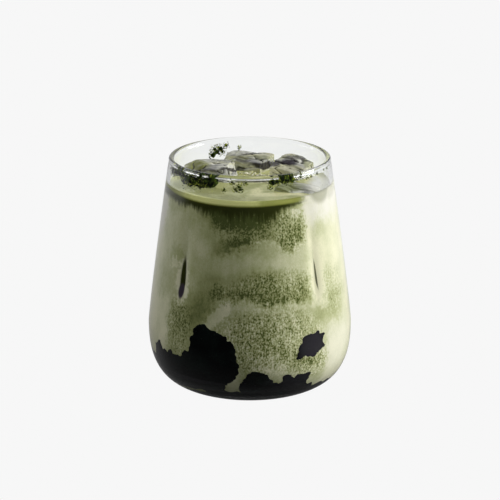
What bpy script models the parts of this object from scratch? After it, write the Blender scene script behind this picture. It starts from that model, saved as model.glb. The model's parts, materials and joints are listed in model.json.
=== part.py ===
"""Iced mugwort latte in a pinched stemless tumbler, standing on z = 0 with its axis on Z.

A bed of dark mugwort jelly lies in the tumbler, one more piece of jelly leans on the wall, and the
milk fills the glass to just under its lip. Four melting ice blocks lie in the milk, and crusts of
damp mugwort powder stick to the inside of the glass above it. Azimuth 0 is the front, at -Y, and it
grows towards +X. Every length is in metres and every azimuth in degrees.
"""

import math
import random

import bmesh
import bpy
from mathutils import Euler, Vector, noise

MM = 0.001

# Driving dimensions of the tumbler.
GLASS_HEIGHT = 101 * MM
BELLY_RADIUS = 45 * MM
BELLY_HEIGHT = 26.5 * MM
FOOT_RADIUS = 30 * MM
MOUTH_RADIUS = 34.9 * MM
WALL = 1.8 * MM
FLOOR_HEIGHT = 5.5 * MM
FLOOR_RADIUS = 24 * MM
LIP_RADIUS = 1.15 * MM
LIP_NECK = 1.4
LIP_START = -25
LIP_TURN = 230
FOOT_RECESS = 0.8 * MM
RECESS_RADIUS = 23 * MM
RECESS_EDGE = 2.3 * MM

# The four pinches that run down the wall and are deepest near their lower end, and fade upwards.
PINCH_AZIMUTHS = (-136.5, -43.5, 43.5, 136.5)
PINCH_TOP = 90 * MM
PINCH_BOTTOM = 42 * MM
PINCH_DEPTH = 1.6 * MM
PINCH_HALF_WIDTH = 2.1 * MM
PINCH_DEEPEST = 0.22
PINCH_FADE = 1.3

# Steps round the front of the glass and of the jelly bed, between the two front pinches.
GLASS_FRONT_STEPS = 11
JELLY_FRONT_STEPS = 26

# Heights at which the wall of the glass and the milk behind it both have a ring of points.
SHARED_HEIGHTS = (34 * MM, 42 * MM, 47 * MM, 52.5 * MM, 60 * MM, 68 * MM, 78 * MM)

# The fill, and the clearances between its solids.
MILK_LEVEL = 89.5 * MM
MENISCUS = 1.0 * MM
MENISCUS_REACH = 2.4 * MM
JELLY_CENTRE_HEIGHT = 14 * MM
CLEARANCE = 0.3 * MM
POCKET_GROWTH = 0.5 * MM
WALL_TOUCH = 0.8 * MM

# Lumps of the jelly bed where it meets the wall: azimuth, half width, height, squareness. Between the axis
# and the wall the bed turns into them over this slope, from one share of the radius to another.
JELLY_LUMPS = (
    (-77, 13, 15.8 * MM, 4),
    (-63, 11, 24.2 * MM, 1.35),
    (-50, 16, 20.7 * MM, 6),
    (-38, 5.5, 23.4 * MM, 3),
    (-25, 8, 18.0 * MM, 3),
    (4.5, 11, 17.2 * MM, 2.2),
    (20, 8.5, 10.8 * MM, 5),
    (23, 4, 15.0 * MM, 3.5),
    (33, 6.6, 14.0 * MM, 4),
    (41, 6, 8.6 * MM, 4),
    (84, 9, 9.2 * MM, 2.4),
    (101, 13, 15.5 * MM, 2.6),
    (124, 12, 24.5 * MM, 3),
    (146, 14, 17.5 * MM, 2.4),
    (171, 13, 29.5 * MM, 3),
    (-168, 12, 22.0 * MM, 2.6),
    (-145, 15, 14.5 * MM, 2.4),
    (-122, 13, 27.5 * MM, 3.4),
    (-100, 15, 17.0 * MM, 3),
)
JELLY_LEAST_HEIGHT = 7.2 * MM
JELLY_SLOPE = (0.45, 0.9)

# The tall lump fused to the bed, as the outline it has on the wall: azimuth and height.
TALL_LUMP_OUTLINE = (
    (-31, 6.4 * MM),
    (-36.8, 12 * MM),
    (-36.4, 24 * MM),
    (-34.6, 33 * MM),
    (-32.4, 36.2 * MM),
    (-27.6, 37 * MM),
    (-24.2, 35.6 * MM),
    (-16, 33.8 * MM),
    (-10.4, 31.2 * MM),
    (-7.8, 27.6 * MM),
    (-7.6, 23.6 * MM),
    (-5.8, 20 * MM),
    (-6.4, 16.4 * MM),
    (-9.8, 13.2 * MM),
    (-14, 10.6 * MM),
    (-18, 6.4 * MM),
)
TALL_LUMP_THICKNESS = 15 * MM

# The loose piece of jelly against the wall: its outline as azimuth and height.
JELLY_PIECE_OUTLINE = (
    (26.4, 21.6 * MM),
    (30.4, 30.6 * MM),
    (41.5, 32.0 * MM),
    (47.8, 30.4 * MM),
    (45.2, 27.2 * MM),
    (47.4, 25.0 * MM),
    (43.0, 23.2 * MM),
    (40.6, 21.6 * MM),
    (34.0, 22.0 * MM),
)
JELLY_PIECE_THICKNESS = 7.5 * MM

# Every chunk is drawn in from the wall in steps, each a share of its thickness, narrower than the last.
CHUNK_STEPS = ((0.15, 1.0), (0.6, 0.95), (0.25, 0.78))
CHUNK_EDGE = 9 * MM

# Ice blocks: name, half sizes and centre in millimetres, turn in degrees, noise seed.
ICE_BLOCKS = (
    ("ice_left", (10.7, 8.2, 11.8), (-16.6, 10.4, 83.8), (7, -6, -23), 3.0),
    ("ice_back", (10.9, 7.4, 12.0), (-0.6, 23.0, 83.4), (3, -2, -27), 11.0),
    ("ice_side", (7.7, 9.3, 11.8), (18.2, 11.5, 83.8), (6, 5, -26), 17.0),
    ("ice_right", (10.6, 8.8, 11.6), (20.6, -12.1, 78.6), (-3, 12, -25), 23.0),
)
ICE_CUTS = 3
ICE_ROUNDING = 0.36
ICE_BALL = 1.28
ICE_ROUGHNESS = 1.8 * MM
ICE_LUMP_SIZE = 11 * MM

# Crusts of damp powder on the inside wall: number of clots, then azimuth and height of the first and
# of the last of them, then the radius of a clot.
POWDER_CRUSTS = (
    (8, (-75, 97.6 * MM), (-46, 97.2 * MM), 1.9 * MM),
    (6, (-52, 96.0 * MM), (-29, 96.8 * MM), 2.6 * MM),
    (5, (16, 97.8 * MM), (31, 98.5 * MM), 1.6 * MM),
    (3, (-151, 93.8 * MM), (-157, 96.0 * MM), 1.0 * MM),
)
POWDER_SEED = 7
POWDER_SINK = 0.9 * MM
POWDER_FLATNESS = 0.72
POWDER_ROUGHNESS = 0.35
POWDER_SCATTER = 0.7 * MM
POWDER_SIZES = (0.75, 1.1)

# Colours as they look dry in white light, then roughness.
GLASS_LOOK = ((0.90, 0.94, 0.92), 0.03)
MILK_LOOK = ((0.62, 0.62, 0.42), 0.35)
JELLY_LOOK = ((0.012, 0.016, 0.014), 0.25)
ICE_LOOK = ((0.80, 0.84, 0.78), 0.08)


def clear_scene():
    for item in list(bpy.data.objects):
        bpy.data.objects.remove(item)


def surface_material(name, look, transmission=0.0):
    """A Principled BSDF with the colour and roughness of one substance."""
    colour, roughness = look
    material = bpy.data.materials.new(name)
    material.use_nodes = True
    shader = material.node_tree.nodes["Principled BSDF"]
    shader.inputs["Base Color"].default_value = (*colour, 1)
    shader.inputs["Roughness"].default_value = roughness
    shader.inputs["Metallic"].default_value = 0.0
    shader.inputs["Transmission Weight"].default_value = transmission
    return material


def new_object(name, mesh_builder, material):
    """A linked object whose mesh is what the builder left, smooth but for its sharp edges."""
    bmesh.ops.recalc_face_normals(mesh_builder, faces=mesh_builder.faces)
    mesh = bpy.data.meshes.new(name)
    mesh_builder.to_mesh(mesh)
    mesh_builder.free()
    mesh.shade_smooth()
    mesh.set_sharp_from_angle(angle=math.radians(50))
    mesh.materials.append(material)
    made = bpy.data.objects.new(name, mesh)
    bpy.context.scene.collection.objects.link(made)
    return made


def smooth_step(value, start, end):
    share = min(1.0, max(0.0, (value - start) / (end - start)))
    return share * share * (3 - 2 * share)


def at(azimuth, radius, height):
    """The point at this azimuth, distance from the axis and height."""
    turn = math.radians(azimuth)
    return Vector((radius * math.sin(turn), -radius * math.cos(turn), height))


def azimuth_of(point):
    return math.degrees(math.atan2(point.x, -point.y))


def azimuth_between(first, second):
    """The angle from one azimuth to the other, from -180 to 180."""
    return (first - second + 180) % 360 - 180


def wall_radius(height, foot_height, foot_radius, belly_radius, mouth_radius):
    """A wall: a superellipse from the foot to the belly, and a shoulder that leans in to the mouth."""
    corner_power, round_power, shoulder_power = 2.64, 2.08, 1.12
    if height < BELLY_HEIGHT:
        drop = (BELLY_HEIGHT - max(height, foot_height)) / (BELLY_HEIGHT - foot_height)
        share = (1 - drop**corner_power) ** (1 / round_power)
        return foot_radius + (belly_radius - foot_radius) * share
    rise = (height - BELLY_HEIGHT) / (GLASS_HEIGHT - BELLY_HEIGHT)
    return belly_radius - (belly_radius - mouth_radius) * rise**shoulder_power


def outer_radius(height):
    return wall_radius(height, 0, FOOT_RADIUS, BELLY_RADIUS, MOUTH_RADIUS)


def inner_radius(height):
    return wall_radius(height, FLOOR_HEIGHT, FLOOR_RADIUS, BELLY_RADIUS - WALL, MOUTH_RADIUS - WALL)


def pinch(azimuth, height):
    """How far the pinches push the wall in at this place."""
    share = (height - PINCH_BOTTOM) / (PINCH_TOP - PINCH_BOTTOM)
    if not 0 < share < 1:
        return 0.0
    fading = min(1.0, (1 - share) / (1 - PINCH_DEEPEST)) ** PINCH_FADE
    along = smooth_step(share, 0, PINCH_DEEPEST) * fading
    nearest = min(abs(azimuth_between(azimuth, middle)) for middle in PINCH_AZIMUTHS)
    across = math.radians(nearest) * BELLY_RADIUS / PINCH_HALF_WIDTH
    return PINCH_DEPTH * along * math.exp(-0.5 * across * across)


def cavity_radius(azimuth, height):
    """The inside of the glass, less the clearance, at this azimuth and height."""
    return inner_radius(height - CLEARANCE) - pinch(azimuth, height) - CLEARANCE


def ring_azimuths(front_steps):
    """Azimuths of one ring of points: close together over each pinch, with the given number of steps
    between the two pinches at the front."""
    pinch_offsets = (-7.5, -5, -2.5, 0, 2.5, 5)
    pinch_reach = 7.5
    other_steps = 9
    found = []
    for index, middle in enumerate(PINCH_AZIMUTHS):
        following = PINCH_AZIMUTHS[(index + 1) % len(PINCH_AZIMUTHS)]
        steps = front_steps if middle < 0 < following else other_steps
        start = middle + pinch_reach
        span = (following - middle) % 360 - 2 * pinch_reach
        found += [middle + offset for offset in pinch_offsets]
        found += [start + span * step / steps for step in range(steps)]
    return found


def wrapped_solid(name, stations, place, front_steps, material):
    """A closed skin round the axis: place(azimuth, station) gives the point of each station on each
    azimuth, and the first and last stations lie on the axis."""
    azimuths = ring_azimuths(front_steps)
    azimuths.append(azimuths[0])
    builder = bmesh.new()
    bmesh.ops.create_grid(builder, x_segments=len(azimuths) - 1, y_segments=len(stations) - 1, size=0.5)
    bmesh.ops.triangulate(builder, faces=builder.faces, quad_method="FIXED")
    for vert in builder.verts:
        column = round((vert.co.x + 0.5) * (len(azimuths) - 1))
        row = round((vert.co.y + 0.5) * (len(stations) - 1))
        vert.co = place(azimuths[column], stations[row])
    bmesh.ops.remove_doubles(builder, verts=builder.verts, dist=0.001 * MM)
    bmesh.ops.dissolve_degenerate(builder, edges=builder.edges, dist=0.001 * MM)
    return new_object(name, builder, material)


def glass_profile():
    """Radius and height of the tumbler's section, from under its middle, over the lip, to its floor."""
    corner_steps, corner_power, lip_steps = 6, 1.7, 6
    lip_height = GLASS_HEIGHT - LIP_RADIUS
    lip_middle = MOUTH_RADIUS - WALL / 2
    neck_height = lip_height - LIP_NECK * LIP_RADIUS
    wall_heights = [*SHARED_HEIGHTS, neck_height]
    corner_shares = [(step / corner_steps) ** corner_power for step in range(corner_steps + 1)]
    points = [(0, FOOT_RECESS), (RECESS_RADIUS - RECESS_EDGE, FOOT_RECESS)]
    points += [(RECESS_RADIUS, 0), (FOOT_RADIUS, 0)]
    outside = [BELLY_HEIGHT * share for share in corner_shares[1:]] + wall_heights
    points += [(outer_radius(height), height) for height in outside]
    for step in range(lip_steps + 1):
        turn = math.radians(LIP_START + LIP_TURN * step / lip_steps)
        points.append((lip_middle + LIP_RADIUS * math.cos(turn), lip_height + LIP_RADIUS * math.sin(turn)))
    inside = [FLOOR_HEIGHT + (BELLY_HEIGHT - FLOOR_HEIGHT) * share for share in corner_shares]
    inside += wall_heights
    points += [(inner_radius(height), height) for height in reversed(inside)]
    return points + [(0, FLOOR_HEIGHT)]


def powder_clots(material):
    """Clots of powder along each crust: dented balls, flattened on the wall and sunk a little in it."""
    draw = random.Random(POWDER_SEED)
    clots = []
    for count, first, last, size in POWDER_CRUSTS:
        for index in range(count):
            share = index / (count - 1)
            azimuth = first[0] + (last[0] - first[0]) * share
            height = first[1] + (last[1] - first[1]) * share + draw.uniform(-1, 1) * POWDER_SCATTER
            outward = at(azimuth, 1, 0)
            radius = size * draw.uniform(*POWDER_SIZES)
            middle = at(azimuth, inner_radius(height) + POWDER_SINK - radius * POWDER_FLATNESS, height)
            builder = bmesh.new()
            bmesh.ops.create_icosphere(builder, subdivisions=2, radius=radius)
            for vert in builder.verts:
                vert.co *= 1 + POWDER_ROUGHNESS * noise.noise(vert.co / size + Vector((index, share, size)))
                vert.co -= outward * (vert.co.dot(outward) * (1 - POWDER_FLATNESS))
                vert.co += middle
            clots.append(new_object("powder_clot", builder, material))
    return clots


def tumbler(material):
    """The glass, with the powder that sticks to it."""

    def place(azimuth, station):
        radius, height = station
        return at(azimuth, radius - pinch(azimuth, height), height)

    glass = wrapped_solid("glass_tumbler", glass_profile(), place, GLASS_FRONT_STEPS, material)
    join(glass, powder_clots(material))


def join(solid, pieces):
    """Unites a solid with the pieces fused to it, which are then removed."""
    joined = bpy.data.collections.new("joined")
    bpy.context.scene.collection.children.link(joined)
    for piece in pieces:
        joined.objects.link(piece)
    union = solid.modifiers.new("union", "BOOLEAN")
    union.operation = "UNION"
    union.operand_type = "COLLECTION"
    union.collection = joined
    union.solver = "EXACT"
    bpy.context.view_layer.objects.active = solid
    bpy.ops.object.modifier_apply(modifier=union.name)
    for piece in pieces:
        bpy.data.objects.remove(piece)
    bpy.data.collections.remove(joined)


def jelly_height(azimuth, share=1.0):
    """Top of the jelly bed at this azimuth, at this share of the way from the axis to the wall."""
    height = JELLY_LEAST_HEIGHT
    for middle, half_width, peak, squareness in JELLY_LUMPS:
        off = abs(azimuth_between(azimuth, middle)) / half_width
        if off < 1:
            rise = (1 - off**squareness) ** (1 / squareness)
            height = max(height, JELLY_LEAST_HEIGHT + (peak - JELLY_LEAST_HEIGHT) * rise)
    weight = smooth_step(share, *JELLY_SLOPE)
    return JELLY_CENTRE_HEIGHT + (height - JELLY_CENTRE_HEIGHT) * weight


def jelly_bed(material):
    floor = FLOOR_HEIGHT + CLEARANCE
    under = [("floor", share) for share in (0, 0.5, 1)]
    side = [("side", share) for share in (0.06, 0.2, 0.45, 0.7)]
    over = [("top", share) for share in (1, 0.84, 0.66, 0.45, 0)]

    def place(azimuth, station):
        part, share = station
        if part == "floor":
            return at(azimuth, share * (FLOOR_RADIUS - CLEARANCE), floor)
        if part == "side":
            height = floor + (jelly_height(azimuth) - floor) * share
            return at(azimuth, cavity_radius(azimuth, height), height)
        edge_radius = cavity_radius(azimuth, jelly_height(azimuth))
        return at(azimuth, share * edge_radius, jelly_height(azimuth, share))

    return wrapped_solid("jelly_bed", under + side + over, place, JELLY_FRONT_STEPS, material)


def jelly_chunk(name, outline, thickness, material):
    """A chunk of jelly pressed on the glass: its outline filled, laid on the wall and drawn inwards."""
    builder = bmesh.new()
    corners = [builder.verts.new(at(azimuth, BELLY_RADIUS, height)) for azimuth, height in outline]
    front = builder.faces.new(corners)
    middle = front.calc_center_median()
    bmesh.ops.triangulate(builder, faces=[front])
    long_edges = [edge for edge in builder.edges if edge.calc_length() > CHUNK_EDGE]
    bmesh.ops.subdivide_edges(builder, edges=long_edges, cuts=1)
    bmesh.ops.triangulate(builder, faces=builder.faces)
    for vert in builder.verts:
        vert.co = at(azimuth_of(vert.co), cavity_radius(azimuth_of(vert.co), vert.co.z), vert.co.z)
    pressed = region = list(builder.faces)
    for depth, width in CHUNK_STEPS:
        drawn = bmesh.ops.extrude_face_region(builder, geom=region)["geom"]
        if region is not pressed:
            bmesh.ops.delete(builder, geom=region, context="FACES")
        region = [item for item in drawn if isinstance(item, bmesh.types.BMFace)]
        for vert in {vert for face in region for vert in face.verts}:
            azimuth = azimuth_of(middle) + (azimuth_of(vert.co) - azimuth_of(middle)) * width
            height = middle.z + (vert.co.z - middle.z) * width
            vert.co = at(azimuth, math.hypot(vert.co.x, vert.co.y) - depth * thickness, height)
    bmesh.ops.triangulate(builder, faces=builder.faces)
    return new_object(name, builder, material)


def keep_inside(builder):
    """Pulls in what would reach past the inside of the glass."""
    for vert in builder.verts:
        azimuth = azimuth_of(vert.co)
        limit = cavity_radius(azimuth, vert.co.z)
        if math.hypot(vert.co.x, vert.co.y) > limit:
            vert.co = at(azimuth, limit, vert.co.z)


def ice_block(name, half_sizes, centre, turn, seed, material):
    """A melting block: a cube with rounded corners and a dented surface."""
    builder = bmesh.new()
    bmesh.ops.create_cube(builder, size=2)
    bmesh.ops.subdivide_edges(builder, edges=builder.edges, cuts=ICE_CUTS, use_grid_fill=True)
    turned = Euler([math.radians(angle) for angle in turn])
    for vert in builder.verts:
        shape = vert.co.lerp(vert.co.normalized() * ICE_BALL, ICE_ROUNDING)
        place = Vector(shape[axis] * half_sizes[axis] * MM for axis in range(3))
        dent = noise.noise(place / ICE_LUMP_SIZE + Vector((seed, seed, seed))) * ICE_ROUGHNESS
        place += shape.normalized() * dent
        place.rotate(turned)
        vert.co = place + Vector(centre) * MM
    keep_inside(builder)
    return new_object(name, builder, material)


def pocket_cutter(solid, collection):
    """A copy of a solid, a clearance larger all round and through the glass where the solid touches it,
    which cuts its pocket in the milk."""
    mesh = solid.data.copy()
    for vert, normal in zip(mesh.vertices, [item.vector.copy() for item in mesh.vertex_normals]):
        vert.co += normal * POCKET_GROWTH
        radius = math.hypot(vert.co.x, vert.co.y)
        if radius > cavity_radius(azimuth_of(vert.co), vert.co.z) - WALL_TOUCH:
            vert.co = at(azimuth_of(vert.co), radius + WALL, vert.co.z)
        if vert.co.z < FLOOR_HEIGHT + WALL_TOUCH:
            vert.co.z -= WALL
    cutter = bpy.data.objects.new(solid.name + "_pocket", mesh)
    cutter.hide_render = True
    cutter.display_type = "WIRE"
    collection.objects.link(cutter)


def milk(material, sunk):
    """The drink from the floor to its level, with a pocket for each solid that lies in it."""
    floor = FLOOR_HEIGHT + CLEARANCE
    under = [("floor", share) for share in (0, 1)]
    corner = [("side", floor + (BELLY_HEIGHT - floor) * share) for share in (0.12, 0.35, 0.65, 1)]
    side = corner + [("side", height) for height in SHARED_HEIGHTS]
    over = [("edge", reach) for reach in (0, 0.5, 1)]

    def place(azimuth, station):
        part, value = station
        if part == "floor":
            return at(azimuth, value * (FLOOR_RADIUS - CLEARANCE), floor)
        if part == "side":
            return at(azimuth, cavity_radius(azimuth, value), value)
        if part == "middle":
            return at(azimuth, 0, MILK_LEVEL)
        height = MILK_LEVEL + MENISCUS * (1 - value) ** 2
        return at(azimuth, cavity_radius(azimuth, height) - value * MENISCUS_REACH, height)

    skin = under + side + over + [("middle", 0)]
    drink = wrapped_solid("mugwort_milk", skin, place, GLASS_FRONT_STEPS, material)
    pockets = bpy.data.collections.new("pockets")
    bpy.context.scene.collection.children.link(pockets)
    for solid in sunk:
        pocket_cutter(solid, pockets)
    cut = drink.modifiers.new("pockets", "BOOLEAN")
    cut.operation = "DIFFERENCE"
    cut.operand_type = "COLLECTION"
    cut.collection = pockets
    cut.solver = "EXACT"


def build():
    clear_scene()
    clear_glass = surface_material("clear_glass", GLASS_LOOK, transmission=1.0)
    green_milk = surface_material("green_milk", MILK_LOOK)
    dark_jelly = surface_material("dark_jelly", JELLY_LOOK)
    wet_ice = surface_material("wet_ice", ICE_LOOK, transmission=0.8)
    tumbler(clear_glass)
    bed = jelly_bed(dark_jelly)
    lump = jelly_chunk("tall_lump", TALL_LUMP_OUTLINE, TALL_LUMP_THICKNESS, dark_jelly)
    piece = jelly_chunk("jelly_piece", JELLY_PIECE_OUTLINE, JELLY_PIECE_THICKNESS, dark_jelly)
    ice = [ice_block(*block, wet_ice) for block in ICE_BLOCKS]
    milk(green_milk, [bed, lump, piece, *ice])
    join(bed, [lump])


build()
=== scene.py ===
"""Looks of an iced mugwort latte in a pinched stemless tumbler.

The drink is dressed in the order in which it is made: the tumbler, the mugwort jelly on its floor, the
ice, the milk poured round them, the powder dusted over it, and last the table and the light. Lengths are
in metres and azimuths in degrees: azimuth 0 is the front, at -Y, and it grows towards +X.
"""

import json
import math
import random

import bmesh
import bpy
from mathutils import Euler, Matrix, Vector, noise

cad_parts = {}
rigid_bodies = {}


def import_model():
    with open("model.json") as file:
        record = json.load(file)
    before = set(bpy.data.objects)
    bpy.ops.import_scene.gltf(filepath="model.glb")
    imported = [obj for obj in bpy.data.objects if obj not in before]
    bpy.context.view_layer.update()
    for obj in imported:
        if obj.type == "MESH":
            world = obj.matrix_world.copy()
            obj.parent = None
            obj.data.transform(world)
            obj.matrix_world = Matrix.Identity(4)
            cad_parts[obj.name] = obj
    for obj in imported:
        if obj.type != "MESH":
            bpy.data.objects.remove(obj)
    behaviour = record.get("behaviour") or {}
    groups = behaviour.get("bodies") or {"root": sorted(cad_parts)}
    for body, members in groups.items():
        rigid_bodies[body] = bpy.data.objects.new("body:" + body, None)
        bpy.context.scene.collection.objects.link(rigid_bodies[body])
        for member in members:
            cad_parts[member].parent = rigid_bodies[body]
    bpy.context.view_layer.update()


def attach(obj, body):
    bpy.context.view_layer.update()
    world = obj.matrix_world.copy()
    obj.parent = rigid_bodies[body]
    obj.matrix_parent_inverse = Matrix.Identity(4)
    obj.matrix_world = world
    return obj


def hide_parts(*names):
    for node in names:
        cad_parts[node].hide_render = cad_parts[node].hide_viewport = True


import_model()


# ---- The tumbler ----
# A stemless glass of clear soda-lime, blown thin over a thick floor, with a fire-polished lip. Four dents are
# nipped into its wall while it is hot, each deepest near its lower end.

MM = 0.001
GLASS_HEIGHT = 101 * MM
BELLY_RADIUS = 45 * MM
BELLY_HEIGHT = 26.5 * MM
FOOT_RADIUS = 30 * MM
MOUTH_RADIUS = 34.9 * MM
WALL = 1.8 * MM
FLOOR_HEIGHT = 5.5 * MM
FLOOR_RADIUS = 24 * MM
LIP_RADIUS = 1.15 * MM
LIP_NECK = 1.4
LIP_START = -25
LIP_TURN = 230
FOOT_RECESS = 0.8 * MM
RECESS_RADIUS = 23 * MM
RECESS_EDGE = 2.3 * MM
PINCH_AZIMUTHS = (-136.5, -43.5, 43.5, 136.5)
PINCH_TOP = 90 * MM
PINCH_BOTTOM = 42 * MM
PINCH_DEPTH = 1.6 * MM
PINCH_HALF_WIDTH = 2.1 * MM
PINCH_DEEPEST = 0.22
PINCH_FADE = 1.3
GLASS_COLUMNS = 288
WALL_RINGS = 70
CORNER_RINGS = 26
CORNER_CROWDING = 1.8
LIP_STEPS = 14
GLASS_TINT = (0.97, 0.985, 0.975)


def smooth_step(value, start, end):
    share = min(1.0, max(0.0, (value - start) / (end - start)))
    return share * share * (3 - 2 * share)


def at(azimuth, radius, height):
    """The point at this azimuth, distance from the axis and height."""
    turn = math.radians(azimuth)
    return Vector((radius * math.sin(turn), -radius * math.cos(turn), height))


def azimuth_of(point):
    return math.degrees(math.atan2(point.x, -point.y))


def azimuth_between(first, second):
    """The angle from one azimuth to the other, from -180 to 180."""
    return (first - second + 180) % 360 - 180


def wall_radius(height, foot_height, foot_radius, belly_radius, mouth_radius):
    """A turned wall: a superellipse from foot to belly, and a shoulder that leans in to the mouth."""
    corner_power, round_power, shoulder_power = 2.64, 2.08, 1.12
    if height < BELLY_HEIGHT:
        drop = (BELLY_HEIGHT - max(height, foot_height)) / (BELLY_HEIGHT - foot_height)
        share = (1 - drop**corner_power) ** (1 / round_power)
        return foot_radius + (belly_radius - foot_radius) * share
    rise = (height - BELLY_HEIGHT) / (GLASS_HEIGHT - BELLY_HEIGHT)
    return belly_radius - (belly_radius - mouth_radius) * rise**shoulder_power


def outer_radius(height):
    return wall_radius(height, 0, FOOT_RADIUS, BELLY_RADIUS, MOUTH_RADIUS)


def pinch(azimuth, height):
    """How far the dents push the wall in at this place."""
    share = (height - PINCH_BOTTOM) / (PINCH_TOP - PINCH_BOTTOM)
    if not 0 < share < 1:
        return 0.0
    fading = min(1.0, (1 - share) / (1 - PINCH_DEEPEST)) ** PINCH_FADE
    along = smooth_step(share, 0, PINCH_DEEPEST) * fading
    nearest = min(abs(azimuth_between(azimuth, middle)) for middle in PINCH_AZIMUTHS)
    across = math.radians(nearest) * BELLY_RADIUS / PINCH_HALF_WIDTH
    return PINCH_DEPTH * along * math.exp(-0.5 * across * across)


def inside_radius(azimuth, height):
    """The inside face of the glass at this azimuth and height."""
    inner = wall_radius(height, FLOOR_HEIGHT, FLOOR_RADIUS, BELLY_RADIUS - WALL, MOUTH_RADIUS - WALL)
    return inner - pinch(azimuth, height)


def turned_mesh(name, stations, columns, place):
    """A closed skin round the axis: place(azimuth, station) gives each point, and the first and last
    stations lie on the axis."""
    builder = bmesh.new()
    rings = []
    for station in stations[1:-1]:
        azimuths = [360 * column / columns - 180 for column in range(columns)]
        rings.append([builder.verts.new(place(azimuth, station)) for azimuth in azimuths])
    first = builder.verts.new(place(0, stations[0]))
    last = builder.verts.new(place(0, stations[-1]))
    for column in range(columns):
        following = (column + 1) % columns
        builder.faces.new((first, rings[0][following], rings[0][column]))
        for lower, upper in zip(rings, rings[1:]):
            builder.faces.new((lower[column], lower[following], upper[following], upper[column]))
        builder.faces.new((rings[-1][column], rings[-1][following], last))
    return finished_mesh(name, builder)


def finished_mesh(name, builder):
    """The mesh of what a builder holds, with its faces pointing out and shaded smooth."""
    bmesh.ops.recalc_face_normals(builder, faces=builder.faces)
    mesh = bpy.data.meshes.new(name)
    builder.to_mesh(mesh)
    builder.free()
    mesh.shade_smooth()
    return mesh


def new_object(name, data):
    made = bpy.data.objects.new(name, data)
    bpy.context.scene.collection.objects.link(made)
    return made


def new_piece(name, mesh, *materials):
    """A piece of the drink, which rides with the whole."""
    piece = new_object(name, mesh)
    for material in materials:
        mesh.materials.append(material)
    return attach(piece, "root")


def add(tree, kind, inputs, **settings):
    """A shader node with its settings made, and its inputs set to a value or joined to another's output."""
    made = tree.nodes.new("ShaderNode" + kind)
    for name, value in settings.items():
        setattr(made, name, value)
    for key, value in inputs.items():
        socket = made.inputs[key]
        if isinstance(value, bpy.types.NodeSocket):
            tree.links.new(value, socket)
        elif socket.type == "RGBA":
            socket.default_value = (*value, 1)
        else:
            socket.default_value = value
    return made


def calc(tree, operation, *values):
    return add(tree, "Math", dict(enumerate(values)), operation=operation).outputs[0]


def times(tree, first, second):
    return calc(tree, "MULTIPLY", first, second)


def fade(tree, value, start, end):
    """0 up to the start and 1 from the end on, and smooth between them."""
    inputs = {"Value": value, "From Min": start, "From Max": end}
    return add(tree, "MapRange", inputs, interpolation_type="SMOOTHSTEP").outputs[0]


def mix(tree, share, first, second):
    return add(tree, "Mix", {0: share, 6: first, 7: second}, data_type="RGBA").outputs[2]


def grain(tree, vector, scale, detail=2.0, output="Fac"):
    """Noise round 0.5 at this scale, as its value or its three colours."""
    return add(tree, "TexNoise", {"Vector": vector, "Scale": scale, "Detail": detail}).outputs[output]


def stretched(tree, vector, *shares):
    return add(tree, "VectorMath", {0: vector, 1: shares}, operation="MULTIPLY").outputs[0]


def bumps(tree, height, strength, distance):
    """The normals of a surface with this height map, which goes this many millimetres deep."""
    inputs = {"Height": height, "Strength": strength, "Distance": distance * MM}
    return add(tree, "Bump", inputs).outputs[0]


def new_material(name):
    """An emptied material, its node tree, and the socket of its output that takes a shader."""
    material = bpy.data.materials.new(name)
    material.use_nodes = True
    tree = material.node_tree
    tree.nodes.clear()
    return material, tree, tree.nodes.new("ShaderNodeOutputMaterial").inputs["Surface"]


def new_group(name, inputs, outputs):
    """A node group with these sockets, and its two ends."""
    group = bpy.data.node_groups.new(name, "ShaderNodeTree")
    for label in inputs:
        group.interface.new_socket(label, in_out="INPUT", socket_type="NodeSocketFloat")
    for label, kind in outputs:
        group.interface.new_socket(label, in_out="OUTPUT", socket_type="NodeSocket" + kind)
    return group, group.nodes.new("NodeGroupInput").outputs, group.nodes.new("NodeGroupOutput").inputs


def place_group():
    """Where a point lies on the drink: its azimuth in degrees, its height and its place in millimetres."""
    outputs = (("Azimuth", "Float"), ("Height", "Float"), ("Place", "Vector"))
    group, _, ends = new_group("place_on_the_drink", (), outputs)
    point = add(group, "TexCoord", {}).outputs["Object"]
    millimetres = add(group, "VectorMath", {0: point, "Scale": 1 / MM}, operation="SCALE").outputs[0]
    x, y, z = add(group, "SeparateXYZ", {0: millimetres}).outputs
    turn = calc(group, "ARCTAN2", x, times(group, y, -1))
    group.links.new(times(group, turn, 180 / math.pi), ends["Azimuth"])
    group.links.new(z, ends["Height"])
    group.links.new(millimetres, ends["Place"])
    return group


PLACE = place_group()


def drink_material(name):
    """A new material, with the azimuth, the height and the place of the points it covers."""
    material, tree, surface = new_material(name)
    return material, tree, surface, *add(tree, "Group", {}, node_tree=PLACE).outputs


def let_light_through(tree, glass, surface):
    """Joins a clear shader to the output so that lamps and soft light reach what lies behind it."""
    path = add(tree, "LightPath", {}).outputs
    clear = add(tree, "BsdfTransparent", {}).outputs[0]
    for ray in ("Is Shadow Ray", "Is Diffuse Ray"):
        glass = add(tree, "MixShader", {0: path[ray], 1: glass, 2: clear}).outputs[0]
    tree.links.new(glass, surface)


def coat(tree, surface, colour, roughness, index, **normal):
    """Joins an opaque shader to the output."""
    inputs = {"Base Color": colour, "Roughness": roughness, "IOR": index, **normal}
    tree.links.new(add(tree, "BsdfPrincipled", inputs).outputs[0], surface)


def clear_glass_material():
    material, tree, surface, *_, place = drink_material("clear_glass")
    smears = grain(tree, stretched(tree, place, 1, 1, 0.4), 0.12, 4)
    smeared = times(tree, fade(tree, smears, 0.5, 0.75), 0.05)
    waves = bumps(tree, grain(tree, place, 0.05), 0.05, 1)
    inputs = {"Base Color": GLASS_TINT, "Roughness": smeared, "IOR": 1.5, "Transmission Weight": 1.0,
              "Normal": waves}
    let_light_through(tree, add(tree, "BsdfPrincipled", inputs).outputs[0], surface)
    return material


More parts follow.
